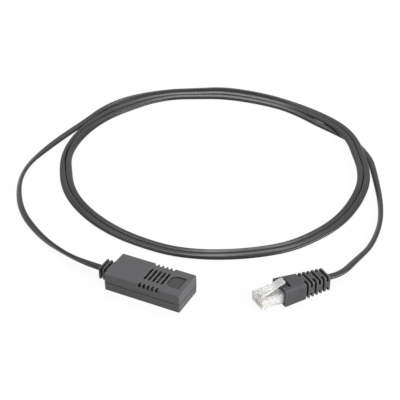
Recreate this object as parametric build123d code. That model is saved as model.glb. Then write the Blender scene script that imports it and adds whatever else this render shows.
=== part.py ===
from build123d import *
from math import cos, radians, sin, tan
import os

# A rack temperature sensor: a vented two-shell head on a long flat cord that lies coiled, with a booted
# eight-position modular plug on its far end. Millimetres. The origin is the middle of the head's
# underside, +X runs from the cord end of the head to its label end, and +Z is up.

# Head shells: two drafted mouldings that part at one level
head_length = 49.6
head_width = 22.6
head_height = 11.9
parting_height = 5.6
wall = 1.5
roof = 1.5
base_floor = 1.5
draft_angle = 1.5
corner_radius = 1.0
cavity_radius = 0.6
edge_chamfer = 0.3
seam_chamfer = 0.45

# Lip of the lower shell, which stands inside a rebate of the upper one, and its snap beads
lip_thickness = 0.6
lip_height = 1.2
lip_clearance = 0.1
bead_radius = 0.3
bead_length = 6.0
bead_spacing = 26.0

# Vents: slots across the roof, each with a notch over both long edges
vent_count = 5
vent_pitch = 2.8
vent_width = 1.8
vent_length = 11.4
vent_label_gap = 2.2
notch_width = 2.1
notch_reach = 2.3
notch_drop = 2.5

# Label recess, rounded towards the vents
label_length = 9.4
label_width = 11.0
label_depth = 0.7
label_round = 4.0
label_corner = 0.5
label_end_gap = 3.2

# Circuit board on four ledges and two pegs of the lower shell, under four posts of the upper one
board_start_gap = 7.9
board_end_gap = 2.6
board_side_gap = 0.6
board_thickness = 1.0
board_corner = 0.8
ledge_length = 3.0
ledge_reach = 1.6
ledge_inset = 0.6
peg_radius = 0.9
peg_boss_radius = 1.8
peg_rise = 0.6
peg_clearance = 0.1
peg_inset = 5.0
post_length = 2.0
post_width = 1.2
post_lip_gap = 0.2
post_clearance = 0.05

# Sensing package: a flat-sided barrel lying on the board, with three bent legs
chip_radius = 2.4
chip_flat = 1.3
chip_length = 4.8
chip_vent_offset = 1.2
chip_front_y = -0.4
chip_edge = 0.2
leg_count = 3
leg_pitch = 1.27
leg_side = 0.45
leg_reach = 3.4
leg_bend = 0.6
leg_below = 0.3
leg_hole_radius = 0.45

# Two chip parts soldered on the board, placed from its edges
capacitor_size = (3.2, 1.6, 1.3)
capacitor_end_inset = 10.9
capacitor_side_inset = 1.9
resistor_size = (2.0, 1.25, 0.6)
resistor_start_inset = 5.0
resistor_side_inset = 3.9
chip_part_edge = 0.12

# Flat cord with four conductors side by side
cord_width = 4.5
cord_thickness = 2.6
cord_arc_share = 0.45
wire_count = 4
wire_radius = 0.45
wire_pitch = 1.0

# Cord grip: moulded on the cord, which stands on its edge, and trapped by a flange behind the end wall
grip_height = 5.5
grip_core_width = 7.0
grip_core_height = 5.6
grip_core_round = 1.2
grip_clearance = 0.1
grip_flange_width = 8.8
grip_flange_height = 7.4
grip_flange_thickness = 1.2
grip_collar_width = 10.4
grip_collar_height = 7.8
grip_collar_thickness = 1.0
grip_collar_out = 1.5
grip_rib_width = 11.0
grip_rib_height = 8.3
grip_rib_thickness = 1.2
grip_rib_outs = (4.0, 6.55)
grip_rib_round = 1.2
grip_rib_chamfer = 0.25
jacket_tail = 1.4

# Head wires fan out from the jacket's end to a row of pads on the board
head_wire_straight = 2.0
head_wire_climb = 4.8
head_wire_rest = 2.6
head_wire_spacing = 2.4
head_wire_bend = 1.6

# Sensor lead: route of the cord from the head to the coil, after a straight run out of the grip
sensor_lead_straight = 9.0
sensor_lead_points = [
    (-61.8, 5.0, 3.0),
    (-88.8, 17.0, 2.25),
    (-119.3, 38.5, 2.25),
    (-141.8, 75.5, 2.25),
    (-146.35, 117.8, 2.25),
]

# Coil: a ring of two strands, with the strands that come in and go out along its outside. Each of these
# bends about a middle that is shifted towards its free end, so that it sinks into the ring bit by bit.
coil_x = -29.7
coil_y = 144.0
coil_inner_radius = 101.5
coil_band = 9.0
coil_height = 4.5
coil_round = 1.1
strand_clearance = 0.15
enter_angle = 172.0
enter_merge_angle = 62.0
enter_shift = 1.0
exit_angle = 24.0
exit_merge_angle = 52.0
exit_shift = 10.0

# Plug lead: route of the cord from the coil to a straight run into the boot
plug_lead_points = [
    (97.4, 136.5, 1.3),
    (103.2, 97.0, 1.3),
]
plug_lead_straight = 16.0

# Modular plug in its own frame: s runs from the nose back along the cord, k to its far side
plug_x = 62.1
plug_y = 13.5
plug_yaw = 53.4
plug_base = 1.9
plug_width = 11.68
plug_height = 6.6
plug_length = 21.5
plug_edge = 0.3
plug_axis_rise = 3.3
wire_room_start = 1.2
wire_room_base = 3.3
wire_room_height = 1.2
wire_room_width = 8.4
cord_room_start = 8.6
cord_room_ramp = 2.0
cord_room_base = 1.0
cord_room_height = 4.4
cord_room_width = 9.0
jacket_end = 12.2
clamp_start = 13.4
clamp_length = 4.0
clamp_width = 4.2
clamp_window_gap = 0.5
clamp_root = 1.2
clamp_foot = 0.25
clamp_tip = 0.8
clamp_gap = 0.08

# Latch of the plug: a flexing arm moulded at the nose
latch_start = 0.9
latch_root_length = 1.7
latch_width = 6.0
latch_neck_width = 5.0
latch_tail_width = 4.4
latch_shoulder = 9.0
latch_length = 16.9
latch_thickness = 1.2
latch_slope = 19.5
latch_tail_slope = 16.0

# Contact blades of the plug
contact_count = 8
contact_pitch = 1.016
contact_thickness = 0.35
contact_clearance = 0.08
contact_start = 0.7
contact_length = 5.0
contact_recess = 0.5
contact_top = 2.5
contact_prong = 0.7
contact_prong_width = 0.9
contact_prong_shares = (0.3, 0.7)
wire_gap = 0.05

# Rubber boot on the plug's rear
boot_start = 14.4
boot_length = 31.6
boot_front_width = 15.2
boot_front_height = 11.4
boot_rear_width = 10.8
boot_rear_height = 9.5
boot_bevel = 0.9
boot_foot_round = 0.4
boot_clearance = 0.05
bore_clearance = 0.1
boot_smooth = 14.5
groove_count = 6
groove_share = 0.6
groove_depth = 2.1
web_across = 4.2
web_upright = 3.4
pocket_length = 5.8
pocket_width = 8.4
pocket_depth = 2.0

# Levels and places worked out from the sizes above
cavity_length = head_length - 2 * wall
cavity_width = head_width - 2 * wall
cavity_top = head_height - roof
label_centre_x = head_length / 2 - label_end_gap - label_length / 2
vent_last_x = label_centre_x - label_length / 2 - vent_label_gap
vent_centre_x = vent_last_x - vent_pitch * (vent_count - 1) / 2
chip_centre_x = vent_centre_x + chip_vent_offset
board_stack = leg_below + board_thickness + chip_flat + chip_radius
board_base = base_floor + leg_below + (cavity_top - base_floor - board_stack) / 2
board_top = board_base + board_thickness
cord_end_x = -head_length / 2
jacket_end_x = cord_end_x + wall + grip_clearance + grip_flange_thickness + jacket_tail
grip_end_x = cord_end_x - max(grip_rib_outs) - grip_rib_thickness / 2
board_start_x = jacket_end_x + board_start_gap
board_end_x = cavity_length / 2 - board_end_gap
board_length = board_end_x - board_start_x
board_centre_x = (board_start_x + board_end_x) / 2
board_width = cavity_width - 2 * board_side_gap
capacitor_place = (board_end_x - capacitor_end_inset, capacitor_side_inset - board_width / 2)
resistor_place = (board_start_x + resistor_start_inset, board_width / 2 - resistor_side_inset)
lip_length = cavity_length + 2 * lip_thickness
lip_width = cavity_width + 2 * lip_thickness
vent_xs = [vent_centre_x + vent_pitch * (i - (vent_count - 1) / 2) for i in range(vent_count)]
leg_xs = [chip_centre_x + leg_pitch * (i - (leg_count - 1) / 2) for i in range(leg_count)]
peg_xs = [board_centre_x + side * (board_length / 2 - peg_inset) for side in (-1, 1)]
ledge_xs = [
    board_centre_x + side * (board_length / 2 - ledge_inset - ledge_length / 2) for side in (-1, 1)
]
wire_offsets = [wire_pitch * (i - (wire_count - 1) / 2) for i in range(wire_count)]
plug_axis = plug_base + plug_axis_rise
plug_place = Pos(plug_x, plug_y, 0) * Rot(0, 0, plug_yaw)
contact_ks = [contact_pitch * (i - (contact_count - 1) / 2) for i in range(contact_count)]
boot_end = boot_start + boot_length
coil_place = Pos(coil_x, coil_y, 0)
coil_outer_radius = coil_inner_radius + coil_band
enter_radius = coil_outer_radius + cord_thickness / 2 + strand_clearance
exit_radius = coil_outer_radius + cord_width / 2 + strand_clearance


def block(x_range, y_range, z_range):
    """A box between two values on each axis."""
    low = Vector(x_range[0], y_range[0], z_range[0])
    high = Vector(x_range[1], y_range[1], z_range[1])
    size = high - low
    middle = (low + high) * 0.5
    return Pos(middle.X, middle.Y, middle.Z) * Box(size.X, size.Y, size.Z)


def slab_across_x(outline, x_low, x_high):
    """An outline drawn in Y and Z, raised from one X to another."""
    return extrude(Plane.YZ.offset(x_low) * outline, x_high - x_low)


def slab_across_y(outline, y_low, y_high):
    """An outline drawn in X and Z, raised from one Y to another."""
    flat = Plane(origin=(0, y_high, 0), x_dir=(1, 0, 0), z_dir=(0, -1, 0))
    return extrude(flat * outline, y_high - y_low)


def shell_block(direction, amount):
    """The outer block of one shell, drawn at the parting level and drafted away from it."""
    outline = Plane.XY.offset(parting_height) * RectangleRounded(head_length, head_width, corner_radius)
    solid = extrude(outline, amount=amount, dir=(0, 0, direction), taper=draft_angle)
    faces = solid.faces().sort_by(Axis.Z)[::direction]
    solid = chamfer(faces[-1].edges(), edge_chamfer)
    return chamfer(solid.faces().sort_by(Axis.Z)[::direction][0].edges(), seam_chamfer)


def rounded_block(length, width, radius, z_low, z_high):
    """An upright block with rounded corners, centred on the head."""
    return extrude(Plane.XY.offset(z_low) * RectangleRounded(length, width, radius), z_high - z_low)


def grip_opening():
    """The hole in the end wall that both shells share, with room for the grip's core."""
    outline = Pos(0, grip_height) * RectangleRounded(
        grip_core_width + 2 * grip_clearance, grip_core_height + 2 * grip_clearance, grip_core_round
    )
    return slab_across_x(outline, cord_end_x - wall, cord_end_x + wall + lip_thickness)


def snap_beads(radius):
    """Half-round beads along the outer face of the lip's long sides."""
    level = parting_height + lip_height / 2
    bars = [
        Pos(along, side * lip_width / 2, level) * Rot(0, 90, 0) * Cylinder(radius, bead_length)
        for along in (-bead_spacing / 2, bead_spacing / 2)
        for side in (-1, 1)
    ]
    return Part() + bars


def vent_notch(x, side):
    """A notch over a long top edge, rounded at its inner end on the roof and at its foot on the wall."""
    plan = Pos(x, side * head_width / 2) * SlotOverall(2 * notch_reach, notch_width, rotation=90)
    front = Pos(x, head_height) * SlotOverall(2 * notch_drop, notch_width, rotation=90)
    upright = extrude(plan, head_height + notch_drop)
    across = slab_across_y(front, -head_width, head_width)
    return upright & across


def housing_top():
    """Upper shell: drafted cap with vents, edge notches, label recess, lip rebate and board posts."""
    shell = shell_block(1, head_height - parting_height)
    shell -= rounded_block(cavity_length, cavity_width, cavity_radius, parting_height - wall, cavity_top)
    rebate = 2 * lip_clearance
    shell -= rounded_block(
        lip_length + rebate,
        lip_width + rebate,
        cavity_radius + lip_thickness,
        parting_height - wall,
        parting_height + lip_height + lip_clearance,
    )
    shell -= snap_beads(bead_radius + lip_clearance)
    slots = [Pos(x, 0, cavity_top) * SlotOverall(vent_length, vent_width, rotation=90) for x in vent_xs]
    shell -= [extrude(slot, 2 * roof) for slot in slots]
    shell -= [vent_notch(x, side) for x in vent_xs for side in (-1, 1)]
    label = Rectangle(label_length, label_width)
    label = fillet(label.vertices().group_by(Axis.X)[0], label_round)
    label = fillet(label.vertices().group_by(Axis.X)[-1], label_corner)
    shell -= Pos(label_centre_x, 0, head_height - label_depth) * extrude(label, 2 * label_depth)
    shell -= grip_opening()
    post_outer = cavity_width / 2 - post_lip_gap
    for x in ledge_xs:
        for side in (-1, 1):
            reach = sorted((side * post_outer, side * (post_outer - post_width)))
            levels = (board_top + post_clearance, cavity_top)
            shell += block((x - post_length / 2, x + post_length / 2), reach, levels)
    return shell


def housing_bottom():
    """Lower shell: drafted tray with the lip, snap beads, board ledges and locating pegs."""
    shell = shell_block(-1, parting_height)
    shell += rounded_block(
        lip_length, lip_width, cavity_radius + lip_thickness, base_floor, parting_height + lip_height
    )
    shell += snap_beads(bead_radius)
    cavity_high = parting_height + 2 * lip_height
    shell -= rounded_block(cavity_length, cavity_width, cavity_radius, base_floor, cavity_high)
    shell -= grip_opening()
    for x in ledge_xs:
        for side in (-1, 1):
            reach = sorted((side * cavity_width / 2, side * (cavity_width / 2 - ledge_reach)))
            shell += block((x - ledge_length / 2, x + ledge_length / 2), reach, (base_floor, board_base))
    for x in peg_xs:
        foot = Pos(x, 0, base_floor)
        shell += foot * extrude(Circle(peg_boss_radius), board_base - base_floor)
        shell += foot * extrude(Circle(peg_radius), board_top + peg_rise - base_floor)
    return shell


def leg_foot_y():
    """Where the chip's legs go down through the board."""
    return chip_front_y - leg_reach


def circuit_board():
    """Bare board with rounded corners, peg holes and leg holes."""
    outline = Pos(board_centre_x, 0) * RectangleRounded(board_length, board_width, board_corner)
    outline -= [Pos(x, 0) * Circle(peg_radius + peg_clearance) for x in peg_xs]
    outline -= [Pos(x, leg_foot_y()) * Circle(leg_hole_radius) for x in leg_xs]
    return extrude(Plane.XY.offset(board_base) * outline, board_thickness)


def temperature_chip():
    """Sensing package: a barrel with one flat side, which lies on the board."""
    axis_level = board_top + chip_flat
    section = Pos(chip_centre_x, axis_level) * Circle(chip_radius)
    below = Pos(chip_centre_x, board_top - chip_radius) * Rectangle(4 * chip_radius, 2 * chip_radius)
    barrel = slab_across_y(section - below, chip_front_y, chip_front_y + chip_length)
    return chamfer(barrel.faces().sort_by(Axis.Y)[-1].edges(), chip_edge)


def chip_legs():
    """Three square legs, straight out of the package and down through the board."""
    level = board_top + chip_flat
    legs = []
    for x in leg_xs:
        path = FilletPolyline(
            (x, chip_front_y, level),
            (x, leg_foot_y(), level),
            (x, leg_foot_y(), board_base - leg_below),
            radius=leg_bend,
        )
        legs.append(sweep(Plane(path @ 0, z_dir=path % 0) * Rectangle(leg_side, leg_side), path))
    return Compound(children=legs)


def chip_part(size, place):
    """A chip component lying on the board, its edges broken."""
    length, width, height = size
    body = Pos(place[0], place[1], board_top + height / 2) * Box(length, width, height)
    return chamfer(body.edges(), chip_part_edge)


def round_wire(points, bend):
    """A round conductor along straight runs with one bend radius."""
    path = FilletPolyline(*points, radius=bend)
    return sweep(Plane(path @ 0, z_dir=path % 0) * Circle(wire_radius), path)


def head_wire(index):
    """One conductor, from its place in the upright cord to its pad in a row on the board."""
    level = grip_height - wire_offsets[index]
    across = wire_offsets[index] / wire_pitch * head_wire_spacing
    rest = board_top + wire_radius
    turn_x = jacket_end_x + head_wire_straight
    climb_x = turn_x + head_wire_climb
    points = [
        (jacket_end_x, 0, level),
        (turn_x, 0, level),
        (climb_x, across, rest),
        (climb_x + head_wire_rest, across, rest),
    ]
    return round_wire(points, head_wire_bend)


def cord_section(rotation):
    """The cord's section: 90 stands it on its edge, 0 lays it flat."""
    return SlotOverall(cord_width, cord_thickness, rotation=rotation)


def grip_slab(width, height, radius, middle_out, thickness):
    """A rounded slab across the cord, some way out from the head's end face."""
    middle_x = cord_end_x - middle_out
    outline = Pos(0, grip_height) * RectangleRounded(width, height, radius)
    return slab_across_x(outline, middle_x - thickness / 2, middle_x + thickness / 2)


def cord_grip():
    """Strain relief: a core through the end wall with an inner flange, a collar and outer ribs."""
    inner_x = cord_end_x + wall + grip_clearance + grip_flange_thickness
    core = Pos(0, grip_height) * RectangleRounded(grip_core_width, grip_core_height, grip_core_round)
    grip = slab_across_x(core, grip_end_x + grip_rib_thickness / 2, inner_x)
    flange_out = -wall - grip_clearance - grip_flange_thickness / 2
    grip += grip_slab(
        grip_flange_width, grip_flange_height, grip_core_round, flange_out, grip_flange_thickness
    )
    grip += grip_slab(
        grip_collar_width, grip_collar_height, grip_core_round, grip_collar_out, grip_collar_thickness
    )
    for out in grip_rib_outs:
        rib = grip_slab(grip_rib_width, grip_rib_height, grip_rib_round, out, grip_rib_thickness)
        grip += chamfer(rib.faces().filter_by(Axis.X).edges(), grip_rib_chamfer)
    bore = Pos(0, grip_height) * cord_section(90)
    return grip - slab_across_x(bore, grip_end_x - wall, inner_x + wall)


def cord_tube(name, points, rotation):
    """A flat cord along straight runs joined by tangent arcs, each as large as its runs allow."""
    route = [Vector(*point) for point in points]
    runs = [after - before for before, after in zip(route, route[1:])]
    radii = []
    for before, after in zip(runs, runs[1:]):
        half_turn = radians(before.get_angle(after) / 2)
        radii.append(cord_arc_share * min(before.length, after.length) / tan(half_turn))
    path = FilletPolyline(*route, radius=radii)
    start = Plane(path @ 0, x_dir=Vector(0, 0, 1).cross(path % 0), z_dir=path % 0)
    tube = sweep(start * cord_section(rotation), path)
    ideal = path.length * cord_section(rotation).area
    print(name, "length", round(path.length, 1), "radii", [round(r) for r in radii])
    print(name, "volume over section times length", round(tube.volume / ideal, 4))
    return tube


def coil_point(radius, angle, level):
    """A point of the coil at a radius and an angle about its middle."""
    return (coil_x + radius * cos(radians(angle)), coil_y + radius * sin(radians(angle)), level)


def sensor_lead():
    """Cord on its edge, from inside the head to the coil's outside."""
    start = (jacket_end_x, 0, grip_height)
    out_of_grip = (grip_end_x - sensor_lead_straight, 0, grip_height)
    end = coil_point(enter_radius, enter_angle, cord_width / 2)
    return cord_tube("sensor_lead", [start, out_of_grip, *sensor_lead_points, end], 90)


def plug_point(s, level):
    """A point on the plug's middle line, some way back from its nose."""
    return (plug_x + s * cos(radians(plug_yaw)), plug_y + s * sin(radians(plug_yaw)), level)


def plug_lead():
    """Cord lying flat, from the coil's outside through the boot into the plug."""
    start = coil_point(exit_radius, exit_angle, cord_thickness / 2)
    into_boot = plug_point(boot_end + plug_lead_straight, plug_axis)
    end = plug_point(jacket_end, plug_axis)
    return cord_tube("plug_lead", [start, *plug_lead_points, into_boot, end], 0)


def coil_strand(free_radius, free_angle, shift, turn, level, rotation):
    """One strand on the coil's outside, from its free end through a turn that sinks it into the ring."""
    section = Plane.XZ * Pos(free_radius - shift, level) * cord_section(rotation)
    return Rot(0, 0, free_angle) * Pos(shift, 0, 0) * revolve(section, Axis.Z, turn)


def cord_coil():
    """The coil's outer shape: a ring of two strands, with the strands that come in and go out."""
    middle = coil_inner_radius + coil_band / 2
    section = Plane.XZ * Pos(middle, coil_height / 2) * RectangleRounded(coil_band, coil_height, coil_round)
    coil = revolve(section, Axis.Z)
    enter_turn = enter_merge_angle - enter_angle
    exit_turn = exit_merge_angle - exit_angle
    coil += coil_strand(enter_radius, enter_angle, enter_shift, enter_turn, cord_width / 2, 90)
    coil += coil_strand(exit_radius, exit_angle, exit_shift, exit_turn, cord_thickness / 2, 0)
    return coil_place * coil


def latch_arm():
    """The latch: an arm that rises from the nose, with locking shoulders and a flatter, narrower tail."""
    top = plug_base + plug_height
    over = latch_thickness / 2
    shoulder_rise = tan(radians(latch_slope)) * (latch_shoulder - latch_start)
    rise = shoulder_rise + tan(radians(latch_tail_slope)) * (latch_length - latch_shoulder)
    root_end = latch_start + latch_root_length
    side = make_face(
        Polyline(
            (latch_start, top - plug_edge),
            (latch_start, top + over),
            (latch_shoulder, top + shoulder_rise + over),
            (latch_length, top + rise + over),
            (latch_length, top + rise - over),
            (latch_shoulder, top + shoulder_rise - over),
            (root_end, top),
            (root_end, top - plug_edge),
            close=True,
        )
    )
    arm = slab_across_y(side, -latch_width / 2, latch_width / 2)
    half = latch_width / 2
    plan = make_face(
        Polyline(
            (0, -half),
            (latch_shoulder, -half),
            (latch_shoulder, -latch_neck_width / 2),
            (latch_length, -latch_tail_width / 2),
            (latch_length, latch_tail_width / 2),
            (latch_shoulder, latch_neck_width / 2),
            (latch_shoulder, half),
            (0, half),
            close=True,
        )
    )
    return arm & extrude(plan, top + 2 * rise)


def contact_slot(k):
    """A slot for one blade, open below and at the nose, up to the wire room."""
    half = contact_thickness / 2 + contact_clearance
    s_high = contact_start + contact_length + contact_clearance
    return block((-plug_edge, s_high), (k - half, k + half), (0, plug_base + wire_room_base))


def clamp_bar():
    """The bar pressed up from the plug's underside against the cord's jacket."""
    jacket_foot = plug_axis - cord_thickness / 2 - clamp_gap
    tip = clamp_start + clamp_length - clamp_window_gap
    side = make_face(
        Polyline(
            (clamp_start - clamp_tip, plug_base + clamp_foot),
            (tip, jacket_foot - clamp_tip),
            (tip, jacket_foot),
            (tip - clamp_root, jacket_foot),
            (clamp_start - clamp_tip, plug_base + cord_room_base),
            close=True,
        )
    )
    return slab_across_y(side, -clamp_width / 2, clamp_width / 2)


def plug_body():
    """Clear plug: block with blade slots, wire room, cord room, clamp bar and latch, one moulding."""
    half = plug_width / 2
    body = block((0, plug_length), (-half, half), (plug_base, plug_base + plug_height))
    body = chamfer(body.edges().filter_by(Axis.X), plug_edge)
    room = wire_room_width / 2
    wire_levels = (plug_base + wire_room_base, plug_base + wire_room_base + wire_room_height)
    body -= block((wire_room_start, cord_room_start + cord_room_ramp), (-room, room), wire_levels)
    low, high = plug_base + cord_room_base, plug_base + cord_room_base + cord_room_height
    ramp_end = cord_room_start + cord_room_ramp
    cord_room = make_face(
        Polyline(
            (cord_room_start, wire_levels[0]),
            (ramp_end, low),
            (plug_length + plug_edge, low),
            (plug_length + plug_edge, high),
            (ramp_end, high),
            (cord_room_start, wire_levels[1]),
            close=True,
        )
    )
    body -= slab_across_y(cord_room, -cord_room_width / 2, cord_room_width / 2)
    body -= [contact_slot(k) for k in contact_ks]
    window = clamp_width / 2 + clamp_window_gap
    body -= block((clamp_start, clamp_start + clamp_length), (-window, window), (0, low + plug_edge))
    body += clamp_bar()
    body += latch_arm()
    return plug_place * body


def contact_blade(k):
    """One blade: a thin plate with a rounded nose and two prongs that reach up to the wire room."""
    start, end = contact_start, contact_start + contact_length
    foot, top = plug_base + contact_recess, plug_base + contact_top
    tip = plug_base + wire_room_base - wire_gap
    plate = Pos((start + end) / 2, (foot + top) / 2) * Rectangle(contact_length, top - foot)
    plate = fillet(plate.vertices().group_by(Axis.Y)[0].sort_by(Axis.X)[0], contact_recess)
    for share in contact_prong_shares:
        middle = start + share * contact_length
        plate += make_face(
            Polyline(
                (middle - contact_prong_width / 2, top - contact_prong),
                (middle + contact_prong_width / 2, top - contact_prong),
                (middle + contact_prong_width / 2, top),
                (middle, tip),
                (middle - contact_prong_width / 2, top),
                close=True,
            )
        )
    half = contact_thickness / 2
    return plug_place * slab_across_y(plate, k - half, k + half)


def plug_wire(index):
    """One conductor, from the jacket's end up and forward over its blade."""
    offset = wire_offsets[index]
    blade = contact_ks[(contact_count - wire_count) // 2 + index]
    level = plug_base + wire_room_base + wire_radius + wire_gap
    end = wire_room_start + wire_gap + contact_recess
    points = [
        (jacket_end, offset, plug_axis),
        (jacket_end - wire_pitch, offset, plug_axis),
        (cord_room_start, blade, level),
        (end, blade, level),
    ]
    return plug_place * round_wire(points, wire_pitch)


def boot_section(width, height):
    """The boot's outline at one end: flat foot on the table, bevelled top edges."""
    outline = Pos(0, height / 2) * Rectangle(width, height)
    outline = chamfer(outline.vertices().group_by(Axis.Y)[-1], boot_bevel)
    return fillet(outline.vertices().group_by(Axis.Y)[0], boot_foot_round)


def boot_sizes(s):
    """The boot's width and height some way back from the nose, on its straight taper."""
    share = (s - boot_start) / boot_length
    width = boot_front_width + share * (boot_rear_width - boot_front_width)
    height = boot_front_height + share * (boot_rear_height - boot_front_height)
    return width, height


def boot_groove(index):
    """One groove round the boot, with webs left at the sides on every second one, else above and below."""
    pitch = (boot_length - boot_smooth) / groove_count
    s_low = boot_start + boot_smooth + index * pitch
    s_high = s_low + pitch * groove_share
    width, height = boot_sizes(s_low)
    outside = block((s_low, s_high), (-width, width), (-height, 2 * height))
    core = (-width / 2 + groove_depth, width / 2 - groove_depth)
    outside -= block((s_low, s_high), core, (groove_depth, height - groove_depth))
    if index % 2:
        level = height / 2
        return outside - block(
            (s_low, s_high), (-width, width), (level - web_upright / 2, level + web_upright / 2)
        )
    return outside - block((s_low, s_high), (-web_across / 2, web_across / 2), (-height, 2 * height))


def plug_boot():
    """Rubber boot: tapered sleeve over the plug's rear, latch pocket in front, staggered grooves behind."""
    front = Plane.YZ.offset(boot_start) * boot_section(boot_front_width, boot_front_height)
    rear = Plane.YZ.offset(boot_end) * boot_section(boot_rear_width, boot_rear_height)
    boot = loft([front, rear], ruled=True)
    half = plug_width / 2 + boot_clearance
    levels = (plug_base - boot_clearance, plug_base + plug_height + boot_clearance)
    boot -= block((boot_start - wall, plug_length + boot_clearance), (-half, half), levels)
    bore = Pos(0, plug_axis) * offset(cord_section(0), bore_clearance)
    boot -= slab_across_x(bore, plug_length, boot_end + wall)
    pocket = pocket_width / 2
    pocket_floor = boot_front_height - pocket_depth
    boot -= block(
        (boot_start - wall, boot_start + pocket_length), (-pocket, pocket), (pocket_floor, boot_front_height)
    )
    boot -= [boot_groove(index) for index in range(groove_count)]
    return plug_place * boot


pieces = {
    "housing_top": housing_top(),
    "housing_bottom": housing_bottom(),
    "circuit_board": circuit_board(),
    "temperature_chip": temperature_chip(),
    "chip_legs": chip_legs(),
    "filter_capacitor": chip_part(capacitor_size, capacitor_place),
    "pullup_resistor": chip_part(resistor_size, resistor_place),
    "cord_grip": cord_grip(),
    "sensor_lead": sensor_lead(),
    "cord_coil": cord_coil(),
    "plug_lead": plug_lead(),
    "plug_boot": plug_boot(),
    "plug_body": plug_body(),
}
for wire in range(wire_count):
    pieces[f"head_wire_{wire + 1}"] = head_wire(wire)
    pieces[f"plug_wire_{wire + 1}"] = plug_wire(wire)
for number, blade_k in enumerate(contact_ks, start=1):
    pieces[f"plug_contact_{number}"] = contact_blade(blade_k)

os.makedirs("parts", exist_ok=True)
for name, piece in pieces.items():
    export_step(piece, f"parts/{name}.step")
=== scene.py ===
import bpy
import numpy as np
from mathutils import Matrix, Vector


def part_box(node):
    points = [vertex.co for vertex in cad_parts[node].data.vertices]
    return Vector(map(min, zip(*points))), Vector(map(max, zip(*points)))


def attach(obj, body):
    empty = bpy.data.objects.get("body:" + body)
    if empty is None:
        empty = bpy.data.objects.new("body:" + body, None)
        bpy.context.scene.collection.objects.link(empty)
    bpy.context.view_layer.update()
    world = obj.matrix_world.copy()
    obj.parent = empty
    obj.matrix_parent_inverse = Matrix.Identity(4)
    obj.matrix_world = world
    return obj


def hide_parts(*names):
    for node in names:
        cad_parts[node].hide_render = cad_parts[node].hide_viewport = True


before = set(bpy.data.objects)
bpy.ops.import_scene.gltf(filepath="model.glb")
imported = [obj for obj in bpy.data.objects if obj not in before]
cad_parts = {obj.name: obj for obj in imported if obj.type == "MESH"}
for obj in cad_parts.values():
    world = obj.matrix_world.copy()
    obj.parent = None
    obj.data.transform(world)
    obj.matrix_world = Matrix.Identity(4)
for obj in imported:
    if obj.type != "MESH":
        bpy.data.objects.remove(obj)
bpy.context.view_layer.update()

# Lower shell
# The tray of the sensor head, injection moulded in charcoal plastic with a fine eroded grain.
# It carries the board on its ledges, and the upper shell snaps over its lip.
shell_dark = (0.064, 0.061, 0.065)
shell_pale = (0.0715, 0.0685, 0.0725)
# The paler colour of outer edges, partly wear and partly a painted highlight.
shell_rubbed_and_highlit = (0.18, 0.176, 0.181)
shell_grain = 0.00028
shell_grain_depth = 0.000018
shell_edge = 0.00035
shell_gloss = (0.72, 0.92)
# A painted shadow line along the seam: a thin band round the head at the parting height is darkened.
seam_middle = Vector((0.0, 0.0, 0.0056))
seam_size = Vector((0.06, 0.03, 0.0008))
seam_painted_shadow = 0.55


def node_adder(tree):
    """A short call for this node tree, which adds a node of one kind and sets the inputs it is given."""

    def add(kind, **values):
        node = tree.nodes.new("ShaderNode" + kind)
        for socket, value in values.items():
            node.inputs[socket.replace("_", " ")].default_value = value
        return node

    return add


def new_finish(name):
    """Start a finish: a node material, its one shader, and short calls that add a node and join sockets."""
    material = bpy.data.materials.new(name)
    material.use_nodes = True
    tree = material.node_tree
    return material, tree.nodes["Principled BSDF"], node_adder(tree), tree.links.new


def grain(add, join, size, detail=2.0, stretch=(1, 1, 1)):
    """Cloudy 0 to 1 noise on object coordinates, with clouds about size metres across times stretch."""
    place = add("TexCoord")
    turn = add("Mapping", Scale=[1 / (size * s) for s in stretch])
    noise = add("TexNoise", Scale=1.0, Detail=detail)
    join(place.outputs["Object"], turn.inputs["Vector"])
    join(turn.outputs["Vector"], noise.inputs["Vector"])
    return noise.outputs["Fac"]


def tint(add, join, pattern, dark, pale, low=0.35, high=0.65):
    """The colour that goes from dark, where the pattern is below low, to pale, where it is above high."""
    ramp = add("ValToRGB")
    first, last = ramp.color_ramp.elements
    first.position, first.color = low, (*dark, 1.0)
    last.position, last.color = high, (*pale, 1.0)
    join(pattern, ramp.inputs["Fac"])
    return ramp.outputs["Color"]


def level(add, join, pattern, low, high):
    """The plain value that goes from low to high as the pattern goes from 0 to 1."""
    span = add("MapRange", To_Min=low, To_Max=high)
    join(pattern, span.inputs["Value"])
    return span.outputs["Result"]


def largest(add, join, first, *others):
    """The largest of some values: each of the others is set against the largest so far."""
    for other in others:
        larger = add("Math")
        larger.operation = "MAXIMUM"
        join(first, larger.inputs[0])
        join(other, larger.inputs[1])
        first = larger.outputs["Value"]
    return first


def emboss(add, join, shader, pattern, depth):
    """Stand the pattern proud of the surface by depth metres where it is 1."""
    bump = add("Bump", Strength=1.0, Distance=depth)
    join(pattern, bump.inputs["Height"])
    join(bump.outputs["Normal"], shader.inputs["Normal"])


def rubbed_and_highlit_edges(add, join, reach):
    """0 on open faces, towards 0.5 on outer edges: the share of short rays into the wall that leave it.
    Edges made paler by it are partly wear and partly a painted highlight.
    """
    probe = add("AmbientOcclusion", Distance=reach)
    probe.inside = True
    probe.only_local = True
    probe.samples = 6
    return level(add, join, probe.outputs["AO"], 1.0, 0.0)


def painted_crevice_shade(add, join, colour, reach):
    """Painted shade: the colour times the share of rays of reach metres that meet nothing, so that slots go
    dark.
    """
    probe = add("AmbientOcclusion", Distance=reach)
    probe.only_local = True
    probe.samples = 8
    join(colour, probe.inputs["Color"])
    return probe.outputs["Color"]


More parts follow.
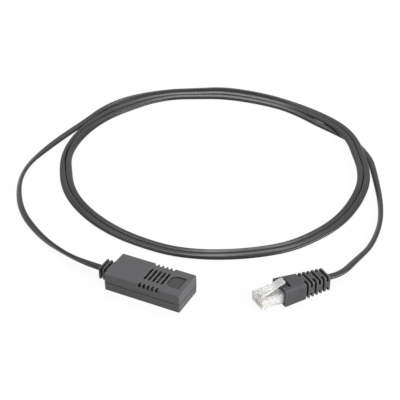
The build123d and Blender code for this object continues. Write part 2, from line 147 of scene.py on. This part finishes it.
def moulded(name, dark, pale, rubbed_and_highlit, grain_size, grain_depth, edge, gloss):
    """A moulded finish: cloudy colour, paler edges that are partly wear and partly a painted highlight,
    painted shade in crevices, and an eroded grain.
    """
    cloud_size = 20 * grain_size
    painted_shade_reaches = (2 * edge, 4 * edge)
    material, shader, add, join = new_finish(name)
    fine = grain(add, join, grain_size)
    # Partly wear and partly a painted highlight: outer edges are mixed towards the paler rubbed colour.
    worn_and_highlit = add("MixRGB", Color2=(*rubbed_and_highlit, 1.0))
    join(tint(add, join, grain(add, join, cloud_size), dark, pale), worn_and_highlit.inputs["Color1"])
    join(rubbed_and_highlit_edges(add, join, edge), worn_and_highlit.inputs["Fac"])
    colour = worn_and_highlit.outputs["Color"]
    # Painted shade: each pass darkens the colour in slots, creases and gaps.
    for reach in painted_shade_reaches:
        colour = painted_crevice_shade(add, join, colour, reach)
    join(colour, shader.inputs["Base Color"])
    join(level(add, join, fine, *gloss), shader.inputs["Roughness"])
    emboss(add, join, shader, fine, grain_depth)
    return material


def dress(material, *nodes):
    """Give CAD nodes this finish in all their material slots."""
    for node in nodes:
        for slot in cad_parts[node].material_slots:
            slot.material = material


def paint_shade_in_box(material, middle, size, shade):
    """Paint shade into a box: multiply the finish by shade where the distance from its middle, divided by
    half its size, is below 1 along X, Y and Z alike."""
    tree = material.node_tree
    add, join = node_adder(tree), tree.links.new
    place = add("TexCoord")
    centred = add("VectorMath")
    centred.operation = "SUBTRACT"
    centred.inputs[1].default_value = middle
    scaled = add("VectorMath")
    scaled.operation = "DIVIDE"
    scaled.inputs[1].default_value = size / 2
    sizeless = add("VectorMath")
    sizeless.operation = "ABSOLUTE"
    axes = add("SeparateXYZ")
    inside = add("Math")
    inside.operation = "LESS_THAN"
    inside.inputs[1].default_value = 1.0
    shaded = add("MixRGB", Color2=(shade, shade, shade, 1.0))
    shaded.blend_type = "MULTIPLY"
    base = tree.nodes["Principled BSDF"].inputs["Base Color"]
    join(place.outputs["Object"], centred.inputs[0])
    join(centred.outputs["Vector"], scaled.inputs[0])
    join(scaled.outputs["Vector"], sizeless.inputs[0])
    join(sizeless.outputs["Vector"], axes.inputs["Vector"])
    join(largest(add, join, *axes.outputs), inside.inputs[0])
    join(inside.outputs["Value"], shaded.inputs["Fac"])
    join(base.links[0].from_socket, shaded.inputs["Color1"])
    join(shaded.outputs["Color"], base)


def shell_finish(name):
    """The charcoal of both shells, with a painted shadow line along the seam between them."""
    material = moulded(name, shell_dark, shell_pale, shell_rubbed_and_highlit, shell_grain, shell_grain_depth,
                       shell_edge, shell_gloss)
    paint_shade_in_box(material, seam_middle, seam_size, seam_painted_shadow)
    return material


dress(shell_finish("charcoal_tray"), "housing_bottom")

# Circuit board and what is soldered to it
# A glass-epoxy board under dark green lacquer, which lies on the tray's ledges below the vents.
# It carries a black epoxy sensing chip on tinned legs, and two chip parts of brown ceramic.
lacquer_dark = (0.008, 0.026, 0.014)
lacquer_pale = (0.016, 0.055, 0.027)
lacquer_grain = 0.0008
lacquer_gloss = (0.25, 0.4)
track_width = 0.0012
track_height = 0.00002
track_edges = (0.45, 0.55)
# How many bands, the dark and the pale ones counted, a wave texture of scale 1 has in a metre.
wave_bands = 6.3

board_lacquer, shader, add, join = new_finish("board_lacquer")
place = add("TexCoord")
tracks = add("TexWave", Scale=1 / track_width / wave_bands, Distortion=3.0, Detail_Scale=0.3)
join(place.outputs["Object"], tracks.inputs["Vector"])
track_colour = tint(add, join, tracks.outputs["Fac"], lacquer_dark, lacquer_pale, *track_edges)
join(track_colour, shader.inputs["Base Color"])
join(level(add, join, grain(add, join, lacquer_grain), *lacquer_gloss), shader.inputs["Roughness"])
emboss(add, join, shader, tracks.outputs["Fac"], track_height)
dress(board_lacquer, "circuit_board")

chip_epoxy = moulded(
    "chip_epoxy", dark=(0.014, 0.014, 0.015), pale=(0.024, 0.024, 0.025), rubbed_and_highlit=(0.05, 0.05, 0.05),
    grain_size=0.00015, grain_depth=0.00001, edge=0.0002, gloss=(0.45, 0.65))
dress(chip_epoxy, "temperature_chip")
chip_ceramic = moulded(
    "chip_ceramic", dark=(0.3, 0.19, 0.11), pale=(0.42, 0.28, 0.17), rubbed_and_highlit=(0.55, 0.42, 0.3),
    grain_size=0.0002, grain_depth=0.000008, edge=0.0002, gloss=(0.3, 0.5))
dress(chip_ceramic, "filter_capacitor", "pullup_resistor")


def metal(name, dark, pale, scratch, gloss):
    """Bare or plated metal: colour and gloss vary along fine rolled streaks, scratch metres wide."""
    streak_shape = (1, 8, 1)
    streak_depth = scratch * 0.05
    material, shader, add, join = new_finish(name)
    shader.inputs["Metallic"].default_value = 1.0
    streaks = grain(add, join, scratch, detail=4.0, stretch=streak_shape)
    join(tint(add, join, streaks, dark, pale), shader.inputs["Base Color"])
    join(level(add, join, streaks, *gloss), shader.inputs["Roughness"])
    emboss(add, join, shader, streaks, streak_depth)
    return material


tinned_copper = metal(
    "tinned_copper", dark=(0.55, 0.55, 0.53), pale=(0.74, 0.74, 0.73), scratch=0.0002, gloss=(0.2, 0.4))
dress(tinned_copper, "chip_legs")

# Conductors
# Four stranded wires in coloured insulation, bared of the jacket at each end of the cord.
# In the head they are soldered to the board, in the plug the blades pierce them.
wire_colours = {"red": (0.5, 0.03, 0.025), "green": (0.03, 0.25, 0.06),
                "yellow": (0.62, 0.45, 0.04), "black": (0.02, 0.02, 0.022)}
wire_shade = 0.8
wire_shine = 1.3

for number, (colour_name, colour) in enumerate(wire_colours.items(), start=1):
    insulation = moulded(
        "wire_" + colour_name, dark=[wire_shade * c for c in colour], pale=colour,
        rubbed_and_highlit=[wire_shine * c for c in colour],
        grain_size=0.0003, grain_depth=0.000008, edge=0.0002, gloss=(0.3, 0.45))
    dress(insulation, f"head_wire_{number}", f"plug_wire_{number}")

# Upper shell
# The lid of the sensor head, from the same charcoal plastic and mould texture as the tray.
# Its vents let room air onto the chip, and the shallow recess near its end has painted shade in it.
recess_size = Vector((0.0096, 0.0112, 0.0010))
recess_end_gap = 0.0032
recess_below_top = 0.00085
recess_painted_shade = 0.55

lid = shell_finish("charcoal_lid")
lid_high = Vector(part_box("housing_top")[1])
recess_middle_x = lid_high.x - recess_end_gap - recess_size.x / 2
recess_middle = Vector((recess_middle_x, 0.0, lid_high.z - recess_below_top))
# Painted shade darkens the colour inside the recess near the end of the lid.
paint_shade_in_box(lid, recess_middle, recess_size, recess_painted_shade)
dress(lid, "housing_top")

# Cord grip
# A soft strain relief with a collar and two cross ribs, moulded in black rubber on the end of the cord.
# A flange on its inner end is trapped behind the end wall of the head, between the two shells.
grip_rubber = moulded(
    "grip_rubber", dark=(0.032, 0.032, 0.034), pale=(0.05, 0.05, 0.052), rubbed_and_highlit=(0.09, 0.09, 0.092),
    grain_size=0.0003, grain_depth=0.00002, edge=0.0003, gloss=(0.45, 0.65))
dress(grip_rubber, "cord_grip")

# Cord
# One flat cord of four conductors in extruded black vinyl, with a shallow valley along each wide face.
# It leaves the head on its edge, lies in a loose coil of a little over two turns, and ends in the plug.
cord_width = 0.0045
cord_thickness = 0.0026
cord_squareness = 0.85
cord_valley = 0.0001
cord_valley_reach = 0.3
cord_sides = 32

# From head to coil: x, y, z in metres, and the roll in degrees of the cord's wide face about its line.
# A roll of 90 stands the cord on its edge, and 0 or 180 lays it flat.
head_lead = (
    (-0.0206, 0.0, 0.0055, -90),
    (-0.04095, 0.0, 0.0053, -94),
    (-0.0612, 0.0049, 0.0031, -130),
    (-0.0882, 0.0151, 0.0022, -76),
    (-0.1199, 0.037, 0.002, -40),
    (-0.1447, 0.0751, 0.0022, -61),
    (-0.1466, 0.1175, 0.0017, 26),
    (-0.1426, 0.1596, 0.0016, 18),
)
# From coil to plug, in the same way: the last points lie on the line of the boot and the plug.
plug_lead = (
    (0.0734, 0.1899, 0.0019, 38),
    (0.0978, 0.1365, 0.0022, 70),
    (0.103, 0.1005, 0.002, 40),
    (0.099, 0.0774, 0.003, 20),
    (0.0966, 0.0602, 0.0044, 6),
    (0.0894, 0.0503, 0.0052, 0),
    (0.0694, 0.0233, 0.0052, 0),
)
# The loose coil: for angles about its middle, the radius of its inner edge in metres, how far in degrees its
# strands lean, with their inner edges up where this is below 0, and the gap from strand to strand in metres.
coil_middle = (-0.0297, 0.144)
coil_form = np.array((
    (0, 0.1021, -20, 0.0), (8, 0.1025, -26, 0.0), (16, 0.1021, -14, 0.0), (32, 0.1001, 4, 0.0002),
    (44, 0.101, 10, 0.0002), (56, 0.0983, 14, 0.0008), (66, 0.0968, 18, 0.0004), (80, 0.0995, 20, 0.0002),
    (96, 0.0996, 22, 0.0013), (112, 0.102, 22, 0.0018), (122, 0.102, 21, 0.0008), (136, 0.1063, 18, 0.0003),
    (152, 0.1031, 16, 0.0028), (166, 0.1032, 14, 0.0014), (178, 0.102, 20, 0.0), (192, 0.1014, 46, 0.0),
    (200, 0.1011, 54, 0.0), (209, 0.0983, 16, 0.0), (217, 0.0978, -4, 0.0), (225, 0.0989, -24, 0.0),
    (233, 0.0988, -20, 0.0), (244, 0.0987, -14, 0.0), (256, 0.0993, -10, 0.0003), (272, 0.101, 0, 0.0),
    (284, 0.1036, -2, 0.0), (296, 0.1043, -12, 0.0), (308, 0.1047, -22, 0.0003), (320, 0.1066, -14, 0.0),
    (329, 0.1049, -10, 0.0), (336, 0.1051, -12, 0.0), (348, 0.1035, -12, 0.0)))
# Along the winding, by degrees wound since the head's lead joins it at coil_start: which lane from the
# inside the strand lies in, how much it is lifted where it rides over the strand that leaves, and its
# extra lean.
coil_start = 172.0
coil_wound = 860.0
coil_step = 10.0
lane_changes = np.array(((0, 2), (114, 2), (136, 1), (474, 1), (496, 0), (830, 0), (842, 0.6), (850, 1.4),
                         (858, 2.05), (870, 2.15)))
lifts = np.array(((90, 0), (116, 0.0026), (138, 0.0026), (164, 0), (450, 0), (476, 0.0026), (498, 0.0026),
                  (524, 0)))
leans = np.array(((0, 0), (20, 16), (80, 18), (110, 0)))


def winding(wound):
    """Points of the coil, on circles about its middle. The radius is that of the inner edge plus half a
    strand plus a step for each lane, and the step is the least at which two tilted flat cords lie side
    by side, plus the gap. The height is half the thickness plus what the tilt adds and the lift."""
    angle = coil_start - wound
    edge, lean, gap = (np.interp(angle, coil_form[:, 0], row, period=360) for row in coil_form[:, 1:].T)
    slope = np.radians(lean)
    core = (cord_width - cord_thickness) / 2
    along = 2 * core * np.cos(slope)
    step = along + np.sqrt(along ** 2 + cord_thickness ** 2 - 4 * core ** 2) + gap
    radius = edge + cord_thickness / 2 + core * np.cos(slope) + np.interp(wound, *lane_changes.T) * step
    tilt = lean + np.interp(wound, *leans.T)
    height = cord_thickness / 2 + core * np.abs(np.sin(np.radians(tilt))) + np.interp(wound, *lifts.T)
    x = coil_middle[0] + radius * np.cos(np.radians(angle))
    y = coil_middle[1] + radius * np.sin(np.radians(angle))
    return np.column_stack((x, y, height, tilt))


def cord_line(points, steps):
    """The smooth line that a NURBS spline of order 3 draws with these points as its control points."""
    curve = bpy.data.curves.new("cord_line", "CURVE")
    curve.dimensions = "3D"
    spline = curve.splines.new("NURBS")
    spline.points.add(len(points) - 1)
    spline.points.foreach_set("co", np.column_stack((points, np.ones(len(points)))).ravel())
    spline.order_u = 3
    spline.use_endpoint_u = True
    spline.resolution_u = steps
    holder = bpy.data.objects.new("cord_line", curve)
    drawn = bpy.data.meshes.new_from_object(holder)
    line = np.empty(len(drawn.vertices) * 3)
    drawn.vertices.foreach_get("co", line)
    bpy.data.objects.remove(holder)
    bpy.data.curves.remove(curve)
    bpy.data.meshes.remove(drawn)
    return line.reshape(-1, 3)


def smooth_rolls(rolls, line_count):
    """The roll in radians at each point of the line: the route's rolls, placed where the spline comes
    nearest to the route's points, and evened out as the mean of each value and its neighbours."""
    mean_of = 9
    spans = len(rolls) - 2
    reached = np.clip(np.arange(len(rolls)) - 0.5, 0, spans)
    along = np.interp(np.linspace(0, spans, line_count), reached, rolls)
    padded = np.pad(along, mean_of // 2, mode="edge")
    return np.radians(np.convolve(padded, np.full(mean_of, 1 / mean_of), mode="valid"))


def unit(vectors):
    """The vectors at length 1: each is divided by its own length."""
    return vectors / np.linalg.norm(vectors, axis=1, keepdims=True)


def flat_cord(name, line, roll):
    """A tube along line, with its section turned about it by roll. The section is a squared ellipse: half
    the width and half the thickness times the cosine and sine to a power below 1, less a valley in each
    wide face. The attribute jacket_place holds that cosine and sine, and the length along the line."""
    jacket_unit = 0.03
    turn = np.linspace(0, 2 * np.pi, cord_sides, endpoint=False)
    cosine, sine = np.cos(turn), np.sin(turn)
    wide = cord_width / 2 * np.sign(cosine) * np.abs(cosine) ** cord_squareness
    thick = cord_thickness / 2 * np.sign(sine) * np.abs(sine) ** cord_squareness
    hollow = np.clip(1 - (wide / (cord_valley_reach * cord_width)) ** 2, 0, 1) ** 2
    thick -= np.sign(thick) * cord_valley * hollow
    ahead = unit(np.gradient(line, axis=0))
    side = unit(np.cross((0, 0, 1), ahead))
    over = np.cross(ahead, side)
    roll_cosine, roll_sine = np.cos(roll)[:, None], np.sin(roll)[:, None]
    along_wide = roll_cosine * side + roll_sine * over
    along_thick = roll_cosine * over - roll_sine * side
    rings = line[:, None] + wide[:, None] * along_wide[:, None] + thick[:, None] * along_thick[:, None]
    count = len(line)
    ring, step = np.meshgrid(np.arange(count - 1), np.arange(cord_sides), indexing="ij")
    next_step = (step + 1) % cord_sides
    quads = np.stack((ring * cord_sides + step, ring * cord_sides + next_step,
                      (ring + 1) * cord_sides + next_step, (ring + 1) * cord_sides + step), axis=-1)
    first_cap = list(range(cord_sides))[::-1]
    last_cap = list(range((count - 1) * cord_sides, count * cord_sides))
    mesh = bpy.data.meshes.new(name)
    mesh.from_pydata(rings.reshape(-1, 3), [], quads.reshape(-1, 4).tolist() + [first_cap, last_cap])
    mesh.polygons.foreach_set("use_smooth", [True] * (len(mesh.polygons) - 2) + [False] * 2)
    walked = np.concatenate(((0,), np.cumsum(np.linalg.norm(np.diff(line, axis=0), axis=1))))
    skin = np.stack((np.tile(cosine, (count, 1)), np.tile(sine, (count, 1)),
                     np.tile(walked[:, None] / jacket_unit, (1, cord_sides))), axis=-1)
    mesh.attributes.new("jacket_place", "FLOAT_VECTOR", "POINT").data.foreach_set("vector", skin.ravel())
    piece = bpy.data.objects.new(name, mesh)
    bpy.context.scene.collection.objects.link(piece)
    return piece


wound = np.arange(coil_step, coil_wound + 1, coil_step)
route = np.vstack((head_lead, winding(wound), plug_lead))
line = cord_line(route[:, :3], steps=8)
cord = flat_cord("cord", line, smooth_rolls(route[:, 3], len(line)))

# The vinyl is drawn through a die, so its gloss and its fine lines run along the cord.
vinyl_dark = (0.0075, 0.006, 0.008)
vinyl_pale = (0.0115, 0.0094, 0.0122)
vinyl_gloss = (0.24, 0.36)
vinyl_specular = 0.41
vinyl_painted_shade_reach = 0.0015
draw_line_shape = (7.0, 7.0, 0.6)
draw_line_depth = 0.000012

vinyl, shader, add, join = new_finish("cord_vinyl")
place = add("Attribute")
place.attribute_name = "jacket_place"
clouds = add("TexNoise", Scale=2.5, Detail=3.0)
drawn_out = add("Mapping", Scale=draw_line_shape)
draw_lines = add("TexNoise", Scale=1.0, Detail=2.0)
join(place.outputs["Vector"], clouds.inputs["Vector"])
join(place.outputs["Vector"], drawn_out.inputs["Vector"])
join(drawn_out.outputs["Vector"], draw_lines.inputs["Vector"])
vinyl_colour = tint(add, join, clouds.outputs["Fac"], vinyl_dark, vinyl_pale)
# Painted shade: the colour goes dark where strands of the coil lie close together.
join(painted_crevice_shade(add, join, vinyl_colour, vinyl_painted_shade_reach), shader.inputs["Base Color"])
join(level(add, join, draw_lines.outputs["Fac"], *vinyl_gloss), shader.inputs["Roughness"])
emboss(add, join, shader, draw_lines.outputs["Fac"], draw_line_depth)
shader.inputs["Specular IOR Level"].default_value = vinyl_specular
cord.data.materials.append(vinyl)

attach(cord, "root")
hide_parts("sensor_lead", "cord_coil", "plug_lead")
on_cord = ["cord_grip", "plug_boot", "plug_body"]
on_cord += [f"plug_contact_{number}" for number in range(1, 9)]
on_cord += [f"plug_wire_{number}" for number in range(1, 5)]

# Plug boot
# A tapered rubber boot, moulded in one piece and pushed over the rear of the plug.
# A pocket in its front takes the tail of the latch, and staggered grooves let its rear bend with the cord.
# Its pale colour on outer edges is partly wear and partly a painted highlight along the ribs.
boot_rubber = moulded(
    "boot_rubber", dark=(0.0258, 0.0242, 0.0267), pale=(0.036, 0.0336, 0.037), rubbed_and_highlit=(0.19, 0.186, 0.191),
    grain_size=0.0003, grain_depth=0.00002, edge=0.0004, gloss=(0.62, 0.82))
dress(boot_rubber, "plug_boot")

# Plug body
# A modular plug moulded in one piece with its latch, in clear polycarbonate with faint flow marks.
# The conductors lie in a room inside its nose, and a clamp bar below holds the end of the cord's jacket.
clear_dark = (0.91, 0.91, 0.905)
clear_pale = (0.96, 0.96, 0.955)
clear_gloss = (0.03, 0.07)
clear_share = 0.66
clear_refraction = 1.58
flow_size = 0.002
flow_depth = 0.000005

clear, shader, add, join = new_finish("clear_polycarbonate")
flow = grain(add, join, flow_size, detail=1.0)
join(tint(add, join, flow, clear_dark, clear_pale), shader.inputs["Base Color"])
join(level(add, join, flow, *clear_gloss), shader.inputs["Roughness"])
emboss(add, join, shader, flow, flow_depth)
shader.inputs["Transmission Weight"].default_value = clear_share
shader.inputs["IOR"].default_value = clear_refraction
dress(clear, "plug_body")

# Contacts
# Eight blades of phosphor bronze plated with gold, pressed into slots that are open below and at the nose.
# The prongs of the middle four bite into the conductors.
gold_plate = metal(
    "gold_plate", dark=(0.72, 0.47, 0.16), pale=(0.86, 0.63, 0.28), scratch=0.00012, gloss=(0.16, 0.3))
dress(gold_plate, *[f"plug_contact_{number}" for number in range(1, 9)])

# Floor, light and camera
# A white sweep in a soft tent of light. A lamp low on the right lights the end of the head most, a strip
# above and behind draws the bright streaks along the cord, and a weak lamp in front fills the shade.
floor_reach = 3.0
sweep_dark = (0.8, 0.8, 0.8)
sweep_pale = (0.82, 0.82, 0.82)
sweep_clouds = 0.3
sweep_glow = 0.93
tent_light = 0.48
lamps = {  # place in metres, width, height, power in watts
    "right_lamp": ((0.95, 0.1, 0.31), 1.0, 0.6, 14.2),
    "top_lamp": ((-0.3, 0.72, 1.35), 1.2, 0.42, 11.5),
    "front_lamp": ((-0.55, -0.85, 0.3), 1.0, 1.0, 4.0),
}
lamp_aim = (0.0, 0.08, 0.0)
camera_place = (0.23213, -0.40262, 0.36338)
camera_aim = (-0.01762, 0.1005, 0.0)
camera_lens = 90.0
camera_sensor = 36.0

floor_x, floor_y = np.meshgrid((-floor_reach, floor_reach), (-floor_reach, floor_reach))
floor_corners = np.column_stack((floor_x.ravel(), floor_y.ravel(), np.zeros(floor_x.size)))
floor_mesh = bpy.data.meshes.new("floor")
floor_mesh.from_pydata(floor_corners, [], [(0, 1, 3, 2)])
floor = bpy.data.objects.new("floor", floor_mesh)
bpy.context.scene.collection.objects.link(floor)


def seen_as_backdrop(add, join):
    """1 for rays from the camera, off a gloss or through a clear piece, and 0 for light on the object."""
    ray = add("LightPath")
    kinds = ("Is Camera Ray", "Is Glossy Ray", "Is Transmission Ray")
    return largest(add, join, *[ray.outputs[kind] for kind in kinds])


sweep, shader, add, join = new_finish("white_sweep")
join(tint(add, join, grain(add, join, sweep_clouds), sweep_dark, sweep_pale), shader.inputs["Base Color"])
shader.inputs["Roughness"].default_value = 1.0
shader.inputs["Specular IOR Level"].default_value = 0.0
glow = add("Emission", Color=(1.0, 1.0, 1.0, 1.0), Strength=1.0)
both = add("MixShader")
join(level(add, join, seen_as_backdrop(add, join), 0.0, sweep_glow), both.inputs["Fac"])
join(shader.outputs["BSDF"], both.inputs[1])
join(glow.outputs["Emission"], both.inputs[2])
join(both.outputs["Shader"], sweep.node_tree.nodes["Material Output"].inputs["Surface"])
floor_mesh.materials.append(sweep)

world = bpy.data.worlds.new("tent")
world.use_nodes = True
bpy.context.scene.world = world
add, join = node_adder(world.node_tree), world.node_tree.links.new
backdrop = world.node_tree.nodes["Background"]
backdrop.inputs["Color"].default_value = (1.0, 1.0, 1.0, 1.0)
join(level(add, join, seen_as_backdrop(add, join), tent_light, 1.0), backdrop.inputs["Strength"])


def set_up(name, data, place, aim):
    """Put a lamp or a camera at a place, turned to look along the line from there to its aim."""
    holder = bpy.data.objects.new(name, data)
    holder.location = place
    holder.rotation_euler = (Vector(aim) - Vector(place)).to_track_quat("-Z", "Y").to_euler()
    bpy.context.scene.collection.objects.link(holder)
    return holder


for name, (place, width, height, power) in lamps.items():
    lamp_data = bpy.data.lights.new(name, "AREA")
    lamp_data.shape = "ELLIPSE"
    lamp_data.size = width
    lamp_data.size_y = height
    lamp_data.energy = power
    set_up(name, lamp_data, place, lamp_aim)

camera_data = bpy.data.cameras.new("camera")
camera_data.lens = camera_lens
camera_data.sensor_width = camera_sensor
bpy.context.scene.camera = set_up("camera", camera_data, camera_place, camera_aim)
bpy.context.scene.view_settings.view_transform = "Standard"
